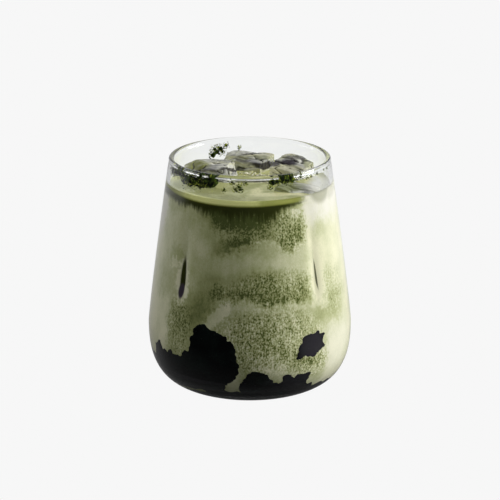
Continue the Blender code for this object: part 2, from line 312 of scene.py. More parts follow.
def glass_section():
    """Radius and height of the tumbler's section, from under its middle, over the lip, to its floor."""
    lip_height = GLASS_HEIGHT - LIP_RADIUS
    lip_middle = MOUTH_RADIUS - WALL / 2
    neck_height = lip_height - LIP_NECK * LIP_RADIUS
    shoulder = neck_height - BELLY_HEIGHT
    corner = [(step / CORNER_RINGS) ** CORNER_CROWDING for step in range(CORNER_RINGS + 1)]
    wall = [BELLY_HEIGHT + shoulder * step / WALL_RINGS for step in range(1, WALL_RINGS + 1)]
    outside = [BELLY_HEIGHT * share for share in corner] + wall
    section = [(0, FOOT_RECESS), (RECESS_RADIUS - RECESS_EDGE, FOOT_RECESS), (RECESS_RADIUS, 0)]
    section += [(outer_radius(height), height) for height in outside]
    for step in range(LIP_STEPS + 1):
        turn = math.radians(LIP_START + LIP_TURN * step / LIP_STEPS)
        section.append((lip_middle + LIP_RADIUS * math.cos(turn), lip_height + LIP_RADIUS * math.sin(turn)))
    inside = [FLOOR_HEIGHT + (BELLY_HEIGHT - FLOOR_HEIGHT) * share for share in corner] + wall
    for height in reversed(inside):
        section.append((inside_radius(0, height), height))
    return section + [(0, FLOOR_HEIGHT)]


def glass_point(azimuth, station):
    radius, height = station
    return at(azimuth, radius - pinch(azimuth, height), height)


tumbler_mesh = turned_mesh("tumbler", glass_section(), GLASS_COLUMNS, glass_point)
tumbler = new_piece("tumbler", tumbler_mesh, clear_glass_material())
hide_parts("glass_tumbler")


# ---- The jelly ----
# Soft dark mugwort jelly, spooned into the glass in broken lumps that sag together on its floor and press
# flat on its wall, with one more piece caught higher up. It is set a hair into the glass, so that it wets it.

# A lump is its azimuth, half width, height in millimetres and squareness. The points of an outline are
# azimuths and heights in millimetres. A chunk's steps are shares of its thickness and of its width.
JELLY_LUMPS = (
    (-77, 13, 15.8, 4), (-63, 11, 24.2, 1.35), (-50, 16, 20.7, 6), (-51, 2.6, 22.0, 2.5),
    (-38, 5.5, 23.4, 3), (-25, 8, 18.0, 3), (4.5, 11, 17.2, 2.2), (20, 8.5, 10.8, 5), (23, 4, 15.0, 3.5),
    (33, 6.6, 14.0, 4), (41, 6, 8.6, 4), (84, 9, 9.2, 2.4), (101, 13, 15.5, 2.6), (124, 12, 24.5, 3),
    (146, 14, 17.5, 2.4), (171, 13, 29.5, 3), (-168, 12, 22.0, 2.6), (-145, 15, 14.5, 2.4),
    (-122, 13, 27.5, 3.4), (-100, 15, 17.0, 3),
)
JELLY_LEAST_HEIGHT = 7.2 * MM
JELLY_CENTRE_HEIGHT = 14 * MM
JELLY_SLOPE = (0.45, 0.9)
TALL_LUMP_OUTLINE = (
    (-31, 6.4), (-36.8, 12), (-36.4, 24), (-34.6, 33), (-32.4, 36.2), (-27.6, 37), (-24.2, 35.6),
    (-16, 33.8), (-10.4, 31.2), (-7.8, 27.6), (-7.6, 23.6), (-5.8, 20), (-6.4, 16.4), (-9.8, 13.2),
    (-14, 10.6), (-18, 6.4),
)
TALL_LUMP_THICKNESS = 15 * MM
JELLY_PIECE_OUTLINE = (
    (26.4, 21.6), (30.4, 30.6), (41.5, 32.0), (47.8, 30.4), (45.2, 27.2), (47.4, 25.0), (43.0, 23.2),
    (40.6, 21.6), (34.0, 22.0),
)
JELLY_PIECE_THICKNESS = 7.5 * MM
CHUNK_STEPS = ((0.15, 1.0), (0.6, 0.95), (0.25, 0.78))
CHUNK_EDGE = 3 * MM
CHUNK_CUTS = 3
JELLY_COLUMNS = 300
BED_SIDE_RINGS = 16
BED_TOP_RINGS = 20
JELLY_VOXEL = 0.55 * MM
JELLY_SAG = 3
JELLY_SINK = 0.22 * MM
PRESSED_REACH = 0.7 * MM
RAGGED_SIZE = 2.6 * MM
RAGGED_DETAIL = 2
RAGGED_DEPTH = 1.1 * MM
RAGGED_INWARD = 0.4
RAGGED_FOOT = 3 * MM
RAGGED_OFFSETS = (Vector((9.3, -1.5, -7.9)), Vector((-3.7, 6.1, 2.4)), Vector((5.2, -8.6, 4.9)))


def jelly_height(azimuth, share=1.0):
    """Top of the jelly bed at this azimuth, at this share of the way from the axis to the wall."""
    height = JELLY_LEAST_HEIGHT
    for middle, half_width, peak, squareness in JELLY_LUMPS:
        off = abs(azimuth_between(azimuth, middle)) / half_width
        if off < 1:
            rise = (1 - off**squareness) ** (1 / squareness)
            height = max(height, JELLY_LEAST_HEIGHT + (peak * MM - JELLY_LEAST_HEIGHT) * rise)
    weight = smooth_step(share, *JELLY_SLOPE)
    return JELLY_CENTRE_HEIGHT + (height - JELLY_CENTRE_HEIGHT) * weight


def bed_point(azimuth, station):
    part, share = station
    if part == "floor":
        return at(azimuth, share * FLOOR_RADIUS, FLOOR_HEIGHT)
    if part == "side":
        height = FLOOR_HEIGHT + (jelly_height(azimuth) - FLOOR_HEIGHT) * share
        return at(azimuth, inside_radius(azimuth, height), height)
    edge_radius = inside_radius(azimuth, jelly_height(azimuth))
    return at(azimuth, share * edge_radius, jelly_height(azimuth, share))


def jelly_chunk(name, outline, thickness):
    """A chunk of jelly pressed on the glass: its outline filled, laid on the wall and drawn inwards."""
    builder = bmesh.new()
    corners = [builder.verts.new(at(azimuth, BELLY_RADIUS, height * MM)) for azimuth, height in outline]
    front = builder.faces.new(corners)
    middle = front.calc_center_median()
    bmesh.ops.triangulate(builder, faces=[front])
    for _ in range(CHUNK_CUTS):
        long_edges = [edge for edge in builder.edges if edge.calc_length() > CHUNK_EDGE]
        bmesh.ops.subdivide_edges(builder, edges=long_edges, cuts=1)
        bmesh.ops.triangulate(builder, faces=builder.faces)
    for vert in builder.verts:
        vert.co = at(azimuth_of(vert.co), inside_radius(azimuth_of(vert.co), vert.co.z), vert.co.z)
    pressed = region = list(builder.faces)
    for depth, width in CHUNK_STEPS:
        drawn = bmesh.ops.extrude_face_region(builder, geom=region)["geom"]
        if region is not pressed:
            bmesh.ops.delete(builder, geom=region, context="FACES")
        region = [item for item in drawn if isinstance(item, bmesh.types.BMFace)]
        for vert in {vert for face in region for vert in face.verts}:
            azimuth = azimuth_of(middle) + (azimuth_of(vert.co) - azimuth_of(middle)) * width
            height = middle.z + (vert.co.z - middle.z) * width
            vert.co = at(azimuth, math.hypot(vert.co.x, vert.co.y) - depth * thickness, height)
    return finished_mesh(name, builder)


def run_together(name, meshes, voxel):
    """One skin round all the meshes, as soft lumps that have sunk into each other have."""
    builder = bmesh.new()
    for mesh in meshes:
        builder.from_mesh(mesh)
    shaped = new_object(name, finished_mesh(name, builder))
    skin = shaped.modifiers.new("skin", "REMESH")
    skin.mode = "VOXEL"
    skin.voxel_size = voxel
    sag = shaped.modifiers.new("sag", "SMOOTH")
    sag.iterations = JELLY_SAG
    mesh = bpy.data.meshes.new_from_object(shaped.evaluated_get(bpy.context.evaluated_depsgraph_get()))
    bpy.data.objects.remove(shaped)
    mesh.shade_smooth()
    return mesh


def make_ragged(mesh):
    """Breaks up the edges of a jelly skin with noise, and presses what lies by the glass a hair into it."""
    for vert in mesh.vertices:
        place = vert.co / RAGGED_SIZE
        azimuth, height = azimuth_of(vert.co), vert.co.z
        radius = math.hypot(vert.co.x, vert.co.y)
        pressed = radius > inside_radius(azimuth, height) - PRESSED_REACH
        waves = [noise.turbulence(place + offset, RAGGED_DETAIL, False) for offset in RAGGED_OFFSETS]
        shift = Vector(waves) * RAGGED_DEPTH
        lift = smooth_step(height, FLOOR_HEIGHT, FLOOR_HEIGHT + RAGGED_FOOT)
        azimuth += math.degrees(shift.x / BELLY_RADIUS) * lift
        height += shift.z * lift
        radius += shift.y * RAGGED_INWARD * lift
        if pressed:
            radius = inside_radius(azimuth, height) + JELLY_SINK
        vert.co = at(azimuth, radius, height)
        if height < FLOOR_HEIGHT + PRESSED_REACH:
            vert.co.z = FLOOR_HEIGHT - JELLY_SINK


def patch_group():
    """A soft oval patch on a flat map, which can lean: 1 inside it and 0 outside."""
    inputs = ("Across", "Up", "Middle Across", "Middle Up", "Half Width", "Half Height", "Lean", "Edge")
    group, starts, ends = new_group("soft_patch", inputs, (("Mask", "Float"),))
    across = calc(group, "SUBTRACT", starts["Across"], starts["Middle Across"])
    up = calc(group, "SUBTRACT", starts["Up"], starts["Middle Up"])
    across = calc(group, "SUBTRACT", across, times(group, up, starts["Lean"]))
    across = calc(group, "DIVIDE", across, starts["Half Width"])
    up = calc(group, "DIVIDE", up, starts["Half Height"])
    squares = calc(group, "MULTIPLY_ADD", across, across, times(group, up, up))
    off = calc(group, "SQRT", squares)
    inner = calc(group, "SUBTRACT", 1, starts["Edge"])
    outer = calc(group, "ADD", 1, starts["Edge"])
    group.links.new(fade(group, off, outer, inner), ends["Mask"])
    return group


PATCH = patch_group()


def patches(tree, across, up, edge, ovals, joining="MAXIMUM"):
    """Soft patches joined into one mask: each a middle, half sizes, a strength and a lean, if it leans."""
    found = 0.0
    for *shape, strength, lean in [(*oval, 0)[:6] for oval in ovals]:
        values = (across, up, *shape, lean, edge)
        mask = add(tree, "Group", dict(enumerate(values)), node_tree=PATCH).outputs["Mask"]
        found = calc(tree, joining, found, times(tree, mask, strength))
    return found


def with_stains_and_painted_light(tree, colour, across, up, stains_and_light):
    """The colour with stains, painted light and painted shade laid over it, each its patches, how soft their
    edge is and its colour.
    """
    for ovals, edge, tint in stains_and_light:
        colour = mix(tree, patches(tree, across, up, edge, ovals), colour, tint)
    return colour


# A thin film of milk run over the jelly and a painted line of light low on the left, by azimuth and height.
JELLY_FILM_AND_RIM_LIGHT = (
    (-76, 15, 18, 7, 0.42), (-45, 10.4, 26, 1.0, 0.45), (38, 26, 9, 7, 0.5), (28, 12, 16, 4, 0.25),
)
FILM_AND_RIM_LIGHT_GREY = (0.05, 0.046, 0.055)
JELLY_TINTS = ((0.0008, 0.0014, 0.0014), (0.003, 0.006, 0.005))


def dark_jelly_material():
    material, tree, surface, azimuth, height, place = drink_material("dark_jelly")
    cloudy = fade(tree, grain(tree, place, 0.14, 4), 0.42, 0.7)
    colour = mix(tree, cloudy, *JELLY_TINTS)
    # The milk film, and a painted line of light where the rim of the glass floor shows through the base.
    colour = with_stains_and_painted_light(tree, colour, azimuth, height, ((JELLY_FILM_AND_RIM_LIGHT, 0.5, FILM_AND_RIM_LIGHT_GREY),))
    dents = bumps(tree, grain(tree, place, 0.9, 3), 0.35, 0.4)
    coat(tree, surface, colour, 0.3, 1.12, Normal=dents)
    return material


bed_stations = [("floor", share) for share in (0, 0.5, 1)]
bed_stations += [("side", step / BED_SIDE_RINGS) for step in range(1, BED_SIDE_RINGS)]
bed_stations += [("top", 1 - step / BED_TOP_RINGS) for step in range(BED_TOP_RINGS + 1)]
bed_mesh = turned_mesh("bed", bed_stations, JELLY_COLUMNS, bed_point)
lump_mesh = jelly_chunk("tall_lump", TALL_LUMP_OUTLINE, TALL_LUMP_THICKNESS)
piece_mesh = jelly_chunk("caught_piece", JELLY_PIECE_OUTLINE, JELLY_PIECE_THICKNESS)
dark_jelly = dark_jelly_material()
for piece_name, meshes, node in (
    ("jelly_lumps", [bed_mesh, lump_mesh], "jelly_bed"),
    ("caught_jelly", [piece_mesh], "jelly_piece"),
):
    jelly_mesh = run_together(piece_name, meshes, JELLY_VOXEL)
    make_ragged(jelly_mesh)
    jelly = new_piece(piece_name, jelly_mesh, dark_jelly)
    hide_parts(node)


# ---- The ice ----
# Four blocks of home-frozen ice, half melted: their corners are round, their tops are dished into shallow
# facets, and a thin film of mugwort milk clouds them. One of them leans on the wall on the right.

# A block is its node, half sizes, middle in millimetres, turn in degrees and where its noise is read.
ICE_BLOCKS = (
    ("ice_left", (10.7, 8.2, 11.8), (-16.6, 10.4, 83.8), (7, -6, -23), 3.0),
    ("ice_back", (10.9, 7.4, 12.0), (-0.6, 23.0, 83.4), (3, -2, -27), 11.0),
    ("ice_side", (7.7, 9.3, 11.8), (18.2, 11.5, 83.8), (6, 5, -26), 17.0),
    ("ice_right", (10.6, 8.8, 11.6), (20.6, -12.1, 78.6), (-3, 12, -25), 23.0),
)
ICE_CUTS = 47
POCKET_CUTS = 15
ICE_ROUNDING = 0.36
ICE_BALL = 1.28
ICE_ROUGHNESS = 1.8 * MM
ICE_LUMP_SIZE = 11 * MM
ICE_FACET_SIZE = 5.5 * MM
ICE_FACET_DEPTH = 0.7 * MM
ICE_FACET_EDGE = 0.5
ICE_FACET_MIDDLE = 0.4
ICE_CREASE_SPACING = (11 * MM, 5 * MM, 3.4 * MM)
ICE_CREASE_SHARPNESS = 7
ICE_CREASE_DEPTH = 0.75 * MM
MILK_FILM = 0.5 * MM


def ice_mesh(name, half_sizes, centre, turn, seed, cuts=ICE_CUTS):
    """A melting block: a cube with rounded corners, a dented surface, shallow facets and creases, whose
    depth at each point is kept as its crease."""
    builder = bmesh.new()
    bmesh.ops.create_cube(builder, size=2)
    bmesh.ops.subdivide_edges(builder, edges=builder.edges, cuts=cuts, use_grid_fill=True)
    crease_depth = builder.verts.layers.float.new("crease")
    turned = Euler([math.radians(angle) for angle in turn])
    shift = Vector((seed, seed, seed))
    for vert in builder.verts:
        shape = vert.co.lerp(vert.co.normalized() * ICE_BALL, ICE_ROUNDING)
        place = Vector(shape[axis] * half_sizes[axis] * MM for axis in range(3))
        dent = noise.noise(place / ICE_LUMP_SIZE + shift) * ICE_ROUGHNESS
        near, far = noise.voronoi(place / ICE_FACET_SIZE + shift)[0][:2]
        dent += (min(ICE_FACET_EDGE, far - near) - ICE_FACET_MIDDLE) * ICE_FACET_DEPTH
        across = Vector(place[axis] / ICE_CREASE_SPACING[axis] for axis in range(3)) + shift
        crease = max(0.0, 1 - ICE_CREASE_SHARPNESS * abs(noise.noise(across)))
        vert[crease_depth] = crease
        dent -= crease * ICE_CREASE_DEPTH
        place += shape.normalized() * dent
        place.rotate(turned)
        vert.co = place + Vector(centre) * MM
        limit = inside_radius(azimuth_of(vert.co), vert.co.z) - MILK_FILM
        if math.hypot(vert.co.x, vert.co.y) > limit:
            vert.co = at(azimuth_of(vert.co), limit, vert.co.z)
    return finished_mesh(name, builder)


# Stains and painted light on the ice, by the distance across the glass and the distance up the slope of the
# heap.
# Painted shadows and dark reflections: under the blocks, in the gap between two of them and on dark facets.
ICE_SHADOWS = (
    (8, 45.2, 7.5, 1.5, 0.95, 0.1), (17.3, 45.2, 4.0, 1.4, 1.0, 0.1), (20, 47.7, 5, 1.3, 0.75, -0.15),
    (1, 50.5, 4.6, 0.6, 0.9, -0.1), (-8.3, 42.4, 4.6, 0.7, 0.9), (-3, 47.2, 4, 0.7, 0.6, -0.3),
    (-20, 41.6, 8, 0.7, 0.6, -0.1),
)
ICE_OLIVE = (
    (-23, 44.6, 5.4, 2.6, 0.85, 0.1), (12, 49.2, 13, 1.8, 0.6), (-6, 48.2, 5, 1.4, 0.5, 0.2),
    (25.9, 45.4, 2.2, 3.2, 0.6),
)
ICE_CREAM = (
    (9, 49.6, 12, 1.0, 0.8, -0.05), (11, 42.2, 13, 2.2, 0.9), (-8, 48.8, 3, 0.8, 0.8, 0.3),
    (-10, 45.6, 9, 0.6, 0.7, -0.2), (6, 36, 8, 4, 0.6, -0.2),
)
# A painted highlight, near white, where the lamp on the right falls on the ice.
ICE_PAINTED_HIGHLIGHT = ((32, 37, 10, 6, 1.0, 0.2),)
ICE_LENS = ((15.5, 34.3, 6.2, 2.8, 1.0),)
ICE_TINTS = ((0.46, 0.46, 0.43), (0.95, 0.95, 0.83))
ICE_STAINS_AND_PAINTED_LIGHT = (
    (ICE_OLIVE, 0.4, (0.30, 0.32, 0.07)),
    (ICE_CREAM, 0.4, (0.82, 0.80, 0.56)),
    (ICE_PAINTED_HIGHLIGHT, 0.4, (1.0, 0.98, 0.88)),
    (ICE_LENS, 0.5, (0.34, 0.37, 0.17)),
    (ICE_SHADOWS, 0.3, (0.02, 0.015, 0.022)),
)
CREASE_SHADE = (0.045, 0.045, 0.03)
CREASE_SHADE_FOOT = (101, 104)
HEAP_SLOPE = 0.33
HEAP_FOOT = 50.35


def drifting(tree, place, scale, reach):
    """The place, moved about by noise of this scale, as far as this reach."""
    drift = grain(tree, place, scale, 3, "Color")
    drift = add(tree, "VectorMath", {0: drift, 1: (0.5, 0.5, 0.5)}, operation="SUBTRACT").outputs[0]
    drift = add(tree, "VectorMath", {0: drift, "Scale": reach}, operation="SCALE").outputs[0]
    return add(tree, "VectorMath", {0: place, 1: drift}, operation="ADD").outputs[0]


def wet_ice_material():
    material, tree, surface, *_, place = drink_material("wet_ice")
    drifted = drifting(tree, place, 0.16, 4.5)
    x, y, z = add(tree, "SeparateXYZ", {0: drifted}).outputs
    up = calc(tree, "MULTIPLY_ADD", y, HEAP_SLOPE, calc(tree, "SUBTRACT", z, HEAP_FOOT))
    up = times(tree, up, 1 / math.hypot(1, HEAP_SLOPE))
    cloud = fade(tree, grain(tree, stretched(tree, drifted, 0.4, 1, 1), 0.3, 4), 0.42, 0.6)
    colour = with_stains_and_painted_light(tree, mix(tree, cloud, *ICE_TINTS), x, up, ICE_STAINS_AND_PAINTED_LIGHT)
    # Painted shade and dark reflections in the creases high on the ice, strongest where its cloud is thin.
    crease = add(tree, "Attribute", {}, attribute_name="crease").outputs["Fac"]
    creased = times(tree, fade(tree, crease, 0.35, 0.9), fade(tree, cloud, 1.2, 0.2))
    heaped = calc(tree, "ADD", z, times(tree, up, 0.3))
    creased = times(tree, creased, fade(tree, heaped, *CREASE_SHADE_FOOT))
    colour = mix(tree, creased, colour, CREASE_SHADE)
    ripples = grain(tree, stretched(tree, drifted, 0.5, 1, 1), 0.45, 3)
    dents = bumps(tree, ripples, 0.6, 1.2)
    inputs = {"Base Color": colour, "Roughness": 0.1, "IOR": 1.31, "Transmission Weight": 0.3,
              "Normal": dents}
    let_light_through(tree, add(tree, "BsdfPrincipled", inputs).outputs[0], surface)
    return material


wet_ice = wet_ice_material()
pocket_meshes = []
for block in ICE_BLOCKS:
    pocket_meshes.append(ice_mesh(*block, cuts=POCKET_CUTS))
    ice = new_piece("melting_" + block[0], ice_mesh(*block), wet_ice)
    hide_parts(block[0])


# ---- The ice chips ----
# Chips and froth that broke off the melting ice: they float along its foot at the front, wet with milk.

# The foot of the ice, as points across and back, in millimetres as are the chips and the water line.
CHIP_LINE = ((-6.5, 9), (-1, 11), (4, 9), (6, 5), (9, 0.5), (15, -2.4), (20, -3.6))
CHIP_COUNT = 80
CHIP_SIZES = (0.35, 1.6)
CHIP_SPREAD = (2.6, 3.0)
CHIP_SQUEEZE = ((0.9, 1.6), (0.6, 1.0), (0.4, 0.8))
CHIP_FLATNESS = 0.6
CHIP_ROUGHNESS = 0.5
CHIP_LIFT = 0.15
CHIP_DETAIL = 2
CHIP_SEED = 5
WATER_LINE = 89.5
NOISE_FIELD = 50
FROTH_TINTS = ((0.50, 0.50, 0.26), (0.94, 0.92, 0.74))


def any_turn(draw):
    return Euler([draw.uniform(0, math.tau) for _ in range(3)])


def any_place(draw):
    """Somewhere in the noise."""
    return Vector(draw.uniform(-NOISE_FIELD, NOISE_FIELD) for _ in range(3))


def reshaped_ball(radius, detail, reshape):
    """The points of a small ball, each put where reshape(point) says, and its faces."""
    ball = bmesh.new()
    bmesh.ops.create_icosphere(ball, subdivisions=detail, radius=radius)
    corners = [reshape(vert.co) for vert in ball.verts]
    faces = [[vert.index for vert in face.verts] for face in ball.faces]
    ball.free()
    return corners, faces


def chip(draw, middle, radius):
    """The points and faces of one angular flake, squeezed, turned at random and flattened."""
    turned = any_turn(draw)
    squeeze = Vector(draw.uniform(*shares) for shares in CHIP_SQUEEZE)
    shift = any_place(draw)

    def reshape(point):
        corner = point * (1 + CHIP_ROUGHNESS * noise.noise(point / radius + shift)) * squeeze
        corner.rotate(turned)
        corner.z *= CHIP_FLATNESS
        return middle + corner

    return reshaped_ball(radius, CHIP_DETAIL, reshape)


def joined_mesh(name, solids):
    """One mesh of many small closed solids, each its corners and faces."""
    points, faces = [], []
    for corners, sides in solids:
        faces += [[len(points) + index for index in side] for side in sides]
        points += corners
    mesh = bpy.data.meshes.new(name)
    mesh.from_pydata(points, [], faces)
    mesh.shade_smooth()
    return mesh


def along(line, share):
    """The point at this share of the way along a line of points."""
    step = min(int(share * (len(line) - 1)), len(line) - 2)
    part = share * (len(line) - 1) - step
    return [start + (end - start) * part for start, end in zip(line[step], line[step + 1])]


def froth_material():
    material, tree, surface, *_, place = drink_material("icy_froth")
    cloud = fade(tree, grain(tree, place, 0.5, 3), 0.4, 0.6)
    colour = mix(tree, cloud, *FROTH_TINTS)
    bubbles = bumps(tree, grain(tree, place, 3.0, 2), 0.5, 0.2)
    coat(tree, surface, colour, 0.2, 1.31, Normal=bubbles)
    return material


draw = random.Random(CHIP_SEED)
chips = []
for _ in range(CHIP_COUNT):
    x, y = along(CHIP_LINE, draw.random())
    x += draw.uniform(-1, 1) * CHIP_SPREAD[0]
    y += draw.uniform(-1, 1) * CHIP_SPREAD[1]
    radius = CHIP_SIZES[0] + (CHIP_SIZES[1] - CHIP_SIZES[0]) * draw.random() ** 2
    chips.append(chip(draw, Vector((x, y, WATER_LINE + CHIP_LIFT * radius)) * MM, radius * MM))
froth = new_piece("ice_chips", joined_mesh("ice_chips", chips), froth_material())


# ---- The milk ----
# Cold milk poured over the jelly and the ice, with the mugwort paste still sinking through it: it hangs from
# the surface in dark drips, drifts in granular clouds and leaves clean milk between them. It wets the glass.

MILK_LEVEL = 89.5 * MM
MENISCUS = 1.0 * MM
MENISCUS_REACH = 2.4 * MM
MILK_SINK = 0.12 * MM
MILK_COLUMNS = 240
MILK_CORNER_RINGS = 19
MILK_RINGS = 60
MENISCUS_RINGS = 12
MENISCUS_STEP = 0.006
SURFACE_RINGS = 40
SURFACE_START = 0.92
POCKET_SHRINK = 0.15 * MM
RIPPLE_SIZE = 9 * MM
RIPPLE_HEIGHT = 0.28 * MM
RIPPLE_FADE = 4


def milk_point(azimuth, station):
    part, value = station
    if part == "floor":
        return at(azimuth, value * FLOOR_RADIUS, FLOOR_HEIGHT - MILK_SINK)
    if part == "side":
        return at(azimuth, inside_radius(azimuth, value) + MILK_SINK, value)
    edge = inside_radius(azimuth, MILK_LEVEL)
    reach = (1 - value) * edge
    climb = MENISCUS * max(0.0, 1 - reach / MENISCUS_REACH) ** 2
    ripple = noise.noise(at(azimuth, value * edge, 0) / RIPPLE_SIZE) * RIPPLE_HEIGHT
    ripple *= smooth_step(reach, 0, edge / RIPPLE_FADE)
    radius = value * edge if value < 1 else inside_radius(azimuth, MILK_LEVEL + MENISCUS) + MILK_SINK
    return at(azimuth, radius, MILK_LEVEL + climb + ripple)


def shrunk(mesh, inset):
    """A copy of a mesh, drawn in all round."""
    copied = mesh.copy()
    for vert, normal in zip(copied.vertices, [item.vector.copy() for item in mesh.vertex_normals]):
        vert.co -= normal * inset
    return copied


def cut_pockets(name, mesh, sunk):
    """The mesh without what lies inside the sunk meshes."""
    drink = new_object(name, mesh)
    cutters = bpy.data.collections.new("pockets")
    bpy.context.scene.collection.children.link(cutters)
    for cutter_mesh in sunk:
        cutters.objects.link(bpy.data.objects.new("pocket", cutter_mesh))
    cut = drink.modifiers.new("pockets", "BOOLEAN")
    cut.operation = "DIFFERENCE"
    cut.operand_type = "COLLECTION"
    cut.collection = cutters
    cut.solver = "EXACT"
    done = bpy.data.meshes.new_from_object(drink.evaluated_get(bpy.context.evaluated_depsgraph_get()))
    for item in [drink, *cutters.objects]:
        bpy.data.objects.remove(item)
    bpy.data.collections.remove(cutters)
    done.name = name
    return done


def round_the_glass(tree, azimuth, points, most):
    """A value that follows the azimuth through these points, and comes back to the first behind the glass."""
    share = calc(tree, "MULTIPLY_ADD", azimuth, 1 / 360, 0.5)
    curve = add(tree, "FloatCurve", {"Value": share})
    line = curve.mapping.curves[0]
    closed = (*points.items(), (180, points[-180]))
    placed = [((where + 180) / 360, value / most) for where, value in closed]
    line.points[0].location = placed[0]
    line.points[1].location = placed[-1]
    for spot in placed[1:-1]:
        line.points.new(*spot)
    curve.mapping.update()
    return times(tree, curve.outputs[0], most)


# How much mugwort the milk holds where it is seen through the wall, from 0 for clean milk to 1 for paste:
# what is everywhere and the edges and strengths of the layers, by azimuth, then clouds that add or take away.
EVERYWHERE = {
    -180: 0.4, -140: 0.45, -100: 0.2, -80: 0.08, -70: 0.24, -60: 0.34, -48: 0.36, -36: 0.4, -24: 0.47,
    -12: 0.42, 4: 0.35, 20: 0.27, 36: 0.24, 42: 0.08, 60: 0.07, 84: 0.1, 110: 0.35, 145: 0.5,
}
UPPER_FOOT = {
    -180: 70, -150: 64, -120: 72, -85: 66, -62: 62, -46: 66, -30: 64, -20: 67.5, -8: 69, 2: 74.5, 12: 75,
    20: 71, 27: 68.5, 33: 71.5, 44: 72, 60: 70, 90: 66, 125: 73, 155: 66,
}
UPPER_LAYER = {
    -180: 0.3, -140: 0.4, -105: 0.2, -75: 0.0, -50: 0.0, -34: 0.03, -22: 0.14, -12: 0.32, 2: 0.42, 14: 0.45,
    28: 0.46, 36: 0.32, 42: 0.05, 50: 0.14, 60: 0.08, 80: 0.03, 110: 0.3, 150: 0.4,
}
MIDDLE_HEAD = {
    -180: 58, -140: 62, -100: 55, -62: 56, -36: 57, -12: 59, 4: 61, 22: 60, 38: 57, 60: 57, 100: 62, 140: 55,
}
MIDDLE_FOOT = {
    -180: 42, -140: 47, -100: 43, -60: 45, -38: 42, -25: 43, -20: 49, 0: 48.5, 6: 46.5, 20: 46, 34: 46.5,
    44: 44, 60: 42, 100: 46, 140: 41,
}
MIDDLE_LAYER = {
    -180: 0.3, -140: 0.35, -100: 0.2, -70: 0.02, -58: 0.1, -44: 0.0, -32: 0.08, -22: 0.18, -8: 0.24, 4: 0.36,
    14: 0.42, 26: 0.36, 38: 0.33, 42: 0.06, 50: 0.1, 58: 0.14, 75: 0.08, 110: 0.3, 150: 0.3,
}
LOWER_LAYER = {
    -180: 0.3, -140: 0.2, -100: 0.1, -75: -0.2, -62: -0.2, -54: 0.1, -46: 0.26, -34: 0.2, -24: 0.0, -14: 0.0,
    -8: 0.14, 4: 0.28, 12: 0.3, 24: 0.2, 36: 0.2, 46: 0.24, 54: 0.04, 75: 0.0, 105: 0.3, 150: 0.3,
}
SOFT_CLOUDS = (
    (-10, 87, 26, 8, 0.45), (37, 79, 4.5, 7, 0.3), (38, 47, 3.5, 5, 0.14), (-10, 10, 5, 4, -0.2),
    (-9, 71, 14, 4, 0.14, 1.6), (33, 83, 9, 4, -0.3), (-36, 42, 15, 9, 0.26), (-53, 63, 5, 4.5, 0.16),
    (-30, 69, 6, 4, -0.12), (-12, 50.5, 14, 2.6, 0.16), (49, 38.5, 9, 3.6, 0.2), (62, 43, 12, 6, 0.22),
    (56, 52, 5, 9, 0.14), (32, 20, 12, 6, 0.3), (12, 20, 12, 5, -0.2), (-60, 84.5, 16, 3, 0.15),
    (58, 76, 9, 4, 0.08), (12, 71.5, 22, 5, 0.12), (20, 48, 22, 4.5, 0.12), (60, 34, 9, 7, 0.14),
    (14, 15, 22, 4, -0.16), (-74, 21, 9, 7, 0.12), (-44.5, 44, 5, 8, -0.16), (-49, 47, 3.4, 6, -0.22),
    (67, 31, 9, 14, 0.09), (-57, 26, 5, 5, -0.14), (-80, 29, 8, 13, -0.12), (14, 26, 10, 6, 0.1),
    (32, 44, 5, 12, 0.08), (18, 80, 6, 7, -0.08),
)
CRISP_CLOUDS = (
    (-18.5, 42, 5.5, 6.3, -0.3, 0.9), (0, 45.6, 13, 1.9, -0.12), (29, 44.6, 8, 1.4, -0.08),
    (62, 24, 10, 9, -0.1), (-53, 59.5, 3.4, 2.6, -0.25), (-44.8, 52.5, 4.8, 10.5, -0.34),
    (46, 56, 3.8, 11, -0.3), (31, 84.4, 5.5, 2.2, -0.25),
)
GRANULAR = (
    (-4, 80, 22, 9, 0.5), (28, 77, 13, 9, 0.8), (16, 53, 26, 7.5, 0.75), (-12, 50, 14, 4, 0.5),
    (12, 30, 30, 14, 1.0), (36, 20, 14, 9, 1.0), (-46, 33, 10, 12, 0.7), (60, 48, 12, 10, 0.45),
    (150, 50, 60, 34, 0.6), (-140, 50, 50, 34, 0.6),
)
WHITER = (
    (62, 86, 24, 9, 0.9), (-80, 82, 12, 14, 0.9), (60, 24, 16, 14, 0.4),
)
WALL_TOP = 101
LOWER_HEAD = (44.5, 40.5)
STREAK_REACH = 5.0

# The milk's colours, from clean to thick with mugwort, and painted dark reflections, slits in two of the
# dents.
TINTS = (
    (0.0, (0.72, 0.705, 0.49)),
    (0.25, (0.57, 0.58, 0.365)),
    (0.5, (0.40, 0.42, 0.215)),
    (0.75, (0.255, 0.275, 0.11)),
    (1.0, (0.075, 0.095, 0.025)),
)
WHITE_MILK = (0.72, 0.70, 0.62)
PASTE_AND_DARK_REFLECTION = (0.028, 0.034, 0.005)
DENT_REFLECTION_GREY = (0.055, 0.045, 0.06)
PAINTED_DENT_SLITS = (
    (((-45.6, 54.6, 2.1, 8.8, 1.0, 0.06),), 0.25, PASTE_AND_DARK_REFLECTION),
    (((-46, 48.6, 2.2, 3.2, 1.0),), 0.25, DENT_REFLECTION_GREY),
    (((45.5, 56, 0.75, 6.4, 0.85, -0.15),), 0.25, PASTE_AND_DARK_REFLECTION),
)

